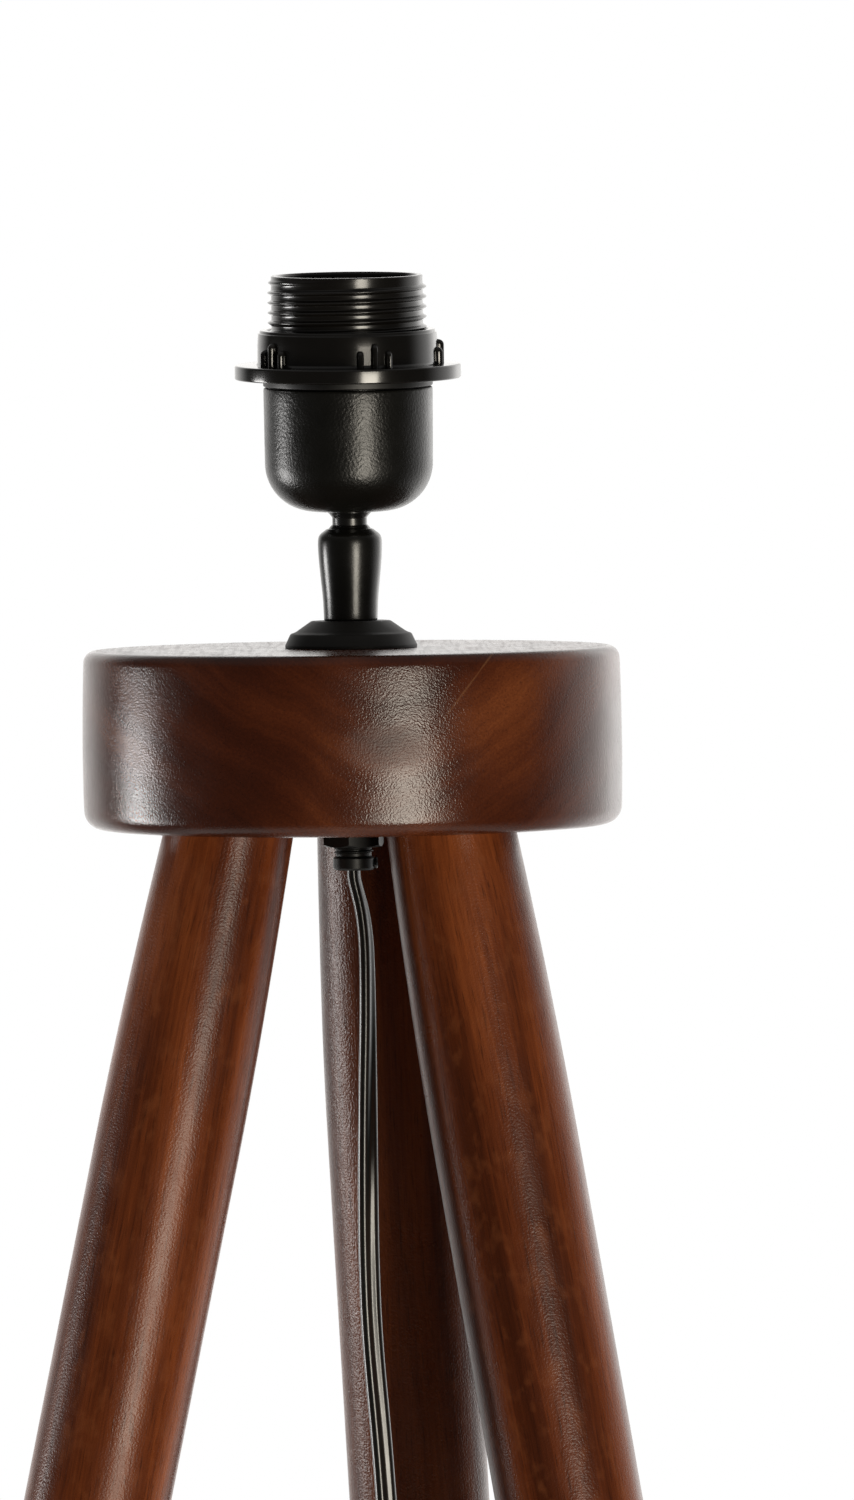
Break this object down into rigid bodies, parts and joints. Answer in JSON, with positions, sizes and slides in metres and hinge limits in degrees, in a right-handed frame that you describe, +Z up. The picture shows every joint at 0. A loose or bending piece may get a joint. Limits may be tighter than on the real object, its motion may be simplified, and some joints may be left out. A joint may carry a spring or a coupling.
{
  "type": "tripod floor lamp",
  "caption": "Tripod floor lamp without a shade: splayed round wooden legs under a thick wooden disc, a ball-jointed lampholder with a shade ring, and a flat lead with foot switch and plug.",
  "frame": {"origin": "on the floor, under the centre of the box around the legs; the lamp's own axis stands at y = -0.0720 m, because one foot is at the back and two are at the front", "axes": "+Z up along the lamp's axis, +Y towards the back leg, +X to the right when facing the lamp from the front"},
  "size_m": [0.5312, 0.4644, 1.3009],
  "materials": {
    "wood_disc": "reddish dark brown stain under satin lacquer, fine orange peel",
    "wood_leg": "reddish dark brown stain under satin lacquer, lengthwise grain",
    "zinc_steel": "zinc-plated steel",
    "brass": "plain brass",
    "glide_plastic": "matt black polyethylene",
    "black_metal": "satin black paint",
    "spring_steel": "bright spring steel",
    "nylon": "natural nylon",
    "black_satin_plastic": "finely textured satin black thermoplastic",
    "black_gloss_plastic": "glossy black thermoplastic",
    "insert_plastic": "dark moulded thermoset",
    "wire_insulation": "brown and blue core insulation",
    "cord_pvc": "glossy black flexible PVC",
    "switch_plastic": "semi-gloss black plastic with a fine texture",
    "plug_plastic": "satin black moulded PVC",
    "nickel": "nickel-plated brass"
  },
  "bodies": {
    "stand": {"top_disc": "wood_disc", "leg_back": "wood_leg", "leg_left": "wood_leg", "leg_right": "wood_leg", "leg_hanger_bolts": "zinc_steel", "leg_insert_nuts": "brass", "foot_glides": "glide_plastic", "threaded_rod": "zinc_steel", "rod_washer": "black_metal", "rod_nut": "black_metal", "base_cap": "black_metal", "swivel_housing": "black_metal", "swivel_spring": "spring_steel", "wires_lower": "wire_insulation", "cord_grip": "black_gloss_plastic", "cord_grip_screw": "black_metal", "cord_drop": "cord_pvc", "cord_tail": "cord_pvc", "cord_coil": "cord_pvc", "cord_end": "cord_pvc", "coil_tie": "glide_plastic", "switch_base": "switch_plastic", "switch_cover": "switch_plastic", "switch_spring": "spring_steel", "switch_terminals": "brass", "switch_screws": "zinc_steel", "switch_grommets": "cord_pvc", "plug_body": "plug_plastic", "plug_pins": "nickel"},
    "seat": {"swivel_seat": "nylon"},
    "head": {"ball_stud": "black_metal", "lampholder_cup": "black_satin_plastic", "cup_lock_screw": "zinc_steel", "threaded_sleeve": "black_gloss_plastic", "socket_insert": "insert_plastic", "screw_shell": "brass", "terminal_screws": "zinc_steel", "wires_upper": "wire_insulation"},
    "shade_ring": {"shade_ring": "black_gloss_plastic"},
    "centre_contact": {"centre_contact": "brass"},
    "switch_button": {"switch_button": "switch_plastic"}
  },
  "joints": [
    {"name": "swivel_turn", "type": "hinge", "parent": "stand", "child": "seat", "pos_m": [0, -0.07198, 1.23285], "axis": [0, 0, 1], "range_deg": [-160, 160]},
    {"name": "swivel_tilt", "type": "hinge", "parent": "seat", "child": "head", "pos_m": [0, -0.07198, 1.23285], "axis": [0.9781, 0.2079, 0], "range_deg": [-15, 9]},
    {"name": "ring_unscrew", "type": "slide", "parent": "head", "child": "shade_ring", "axis": [0.0109, -0.0512, 0.9986], "range_m": [0, 0.026]},
    {"name": "contact_press", "type": "slide", "parent": "head", "child": "centre_contact", "axis": [-0.0109, 0.0512, -0.9986], "range_m": [0, 0.001], "stiffness_N_per_m": 1000, "springref_m": -0.0005},
    {"name": "button_press", "type": "slide", "parent": "stand", "child": "switch_button", "axis": [0, 0, -1], "range_m": [0, 0.0025], "stiffness_N_per_m": 600, "springref_m": -0.001, "deforming": ["switch_spring"]}
  ]
}
